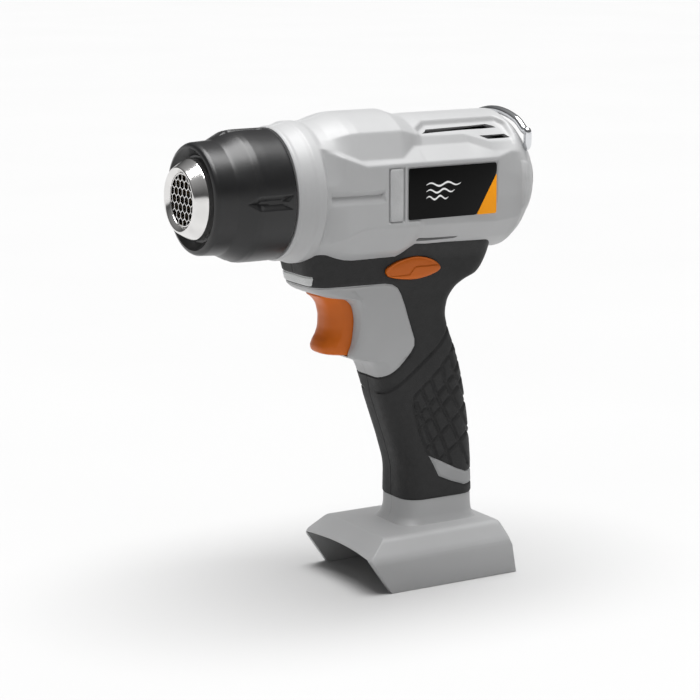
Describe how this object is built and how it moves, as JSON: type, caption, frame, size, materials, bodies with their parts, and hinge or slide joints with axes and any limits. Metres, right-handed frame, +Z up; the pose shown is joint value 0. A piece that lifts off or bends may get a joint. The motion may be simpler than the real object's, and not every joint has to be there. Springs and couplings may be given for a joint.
{
  "type": "cordless heat gun",
  "caption": "Pistol-grip hot-air gun without its battery: ribbed barrel, steel outlet with honeycomb grille, soft grip, slide-on battery foot and fold-back hanging loop.",
  "frame": {"origin": "middle of the overall length and width, on the table plane under the battery foot", "axes": "-X along the air stream out of the nozzle, +Z up, Y across the tool, which is symmetric about Y = 0 apart from screw recesses and the lock button"},
  "size_m": [0.213, 0.084, 0.264],
  "materials": {
    "housing_grey": "satin moulded nylon",
    "grip_black": "soft moulded elastomer with a fine grain",
    "collar_black": "satin heat-resistant plastic",
    "nozzle_steel": "polished stainless steel",
    "lens_clear": "frosted light window",
    "board_white": "lamp board with two emitters",
    "label_black": "printed badge",
    "label_orange": "printed badge colour",
    "insert_grey": "textured insert",
    "pad_grey": "grained rest pad",
    "cap_black": "slotted intake cap",
    "screw_steel": "black zinc screws",
    "duct_black": "glass filled nylon",
    "motor_steel": "zinc plated",
    "magnet_dark": "ferrite magnet",
    "endcap_blue": "moulded brush cap",
    "winding_copper": "laminated core with enamelled windings",
    "fan_grey": "moulded blower wheel",
    "tube_steel": "heat tinted steel tube",
    "mica": "mica sheet",
    "coil_nichrome": "nichrome ribbon",
    "cutout_metal": "bimetal cut-out",
    "board_green": "circuit board",
    "switch_black": "switch case",
    "plunger_grey": "switch plunger",
    "orange_plastic": "satin moulded plastic",
    "terminal_black": "contact block",
    "terminal_copper": "plated copper blades",
    "lead_red": "insulated leads",
    "bail_chrome": "plated spring wire"
  },
  "bodies": {
    "housing": {"left_housing": "housing_grey", "right_housing": "housing_grey", "left_grip": "grip_black", "right_grip": "grip_black", "heat_collar": "collar_black", "nozzle": "nozzle_steel", "honeycomb_grille": "nozzle_steel", "work_light_lens": "lens_clear", "work_light_board": "board_white", "label_plate_left": "label_black", "label_plate_right": "label_black", "label_wedge_left": "label_orange", "label_wedge_right": "label_orange", "bar_insert_left": "insert_grey", "bar_insert_right": "insert_grey", "rear_pad_left": "pad_grey", "rear_pad_right": "pad_grey", "grip_chevron_left": "insert_grey", "grip_chevron_right": "insert_grey", "rear_cap": "cap_black", "housing_screws": "screw_steel", "air_duct": "duct_black", "motor_can": "motor_steel", "motor_magnets": "magnet_dark", "motor_end_cap": "endcap_blue", "heater_tube": "tube_steel", "mica_sleeve": "mica", "mica_cross": "mica", "heater_coil": "coil_nichrome", "thermal_cutout": "cutout_metal", "control_board": "board_green", "switch_body": "switch_black", "terminal_block": "terminal_black", "terminal_blades": "terminal_copper", "power_leads": "lead_red"},
    "trigger": {"trigger": "orange_plastic", "switch_plunger": "plunger_grey"},
    "lock_button": {"lock_button": "orange_plastic"},
    "hanging_bail": {"hanging_bail": "bail_chrome"},
    "rotor": {"motor_shaft": "motor_steel", "rotor_core": "winding_copper", "fan_impeller": "fan_grey"}
  },
  "joints": [
    {"name": "trigger_pull", "type": "slide", "parent": "housing", "child": "trigger", "axis": [1, 0, 0], "range_m": [0, 0.006], "stiffness_N_per_m": 900, "springref_m": -0.003},
    {"name": "lock_press", "type": "slide", "parent": "housing", "child": "lock_button", "axis": [0, 1, 0], "range_m": [0, 0.004]},
    {"name": "bail_swing", "type": "hinge", "parent": "housing", "child": "hanging_bail", "pos_m": [0.0935, 0, 0.241], "axis": [0, 1, 0], "range_deg": [0, 110]},
    {"name": "fan_spin", "type": "hinge", "parent": "housing", "child": "rotor", "pos_m": [0.056, 0, 0.222], "axis": [1, 0, 0], "continuous": true}
  ]
}
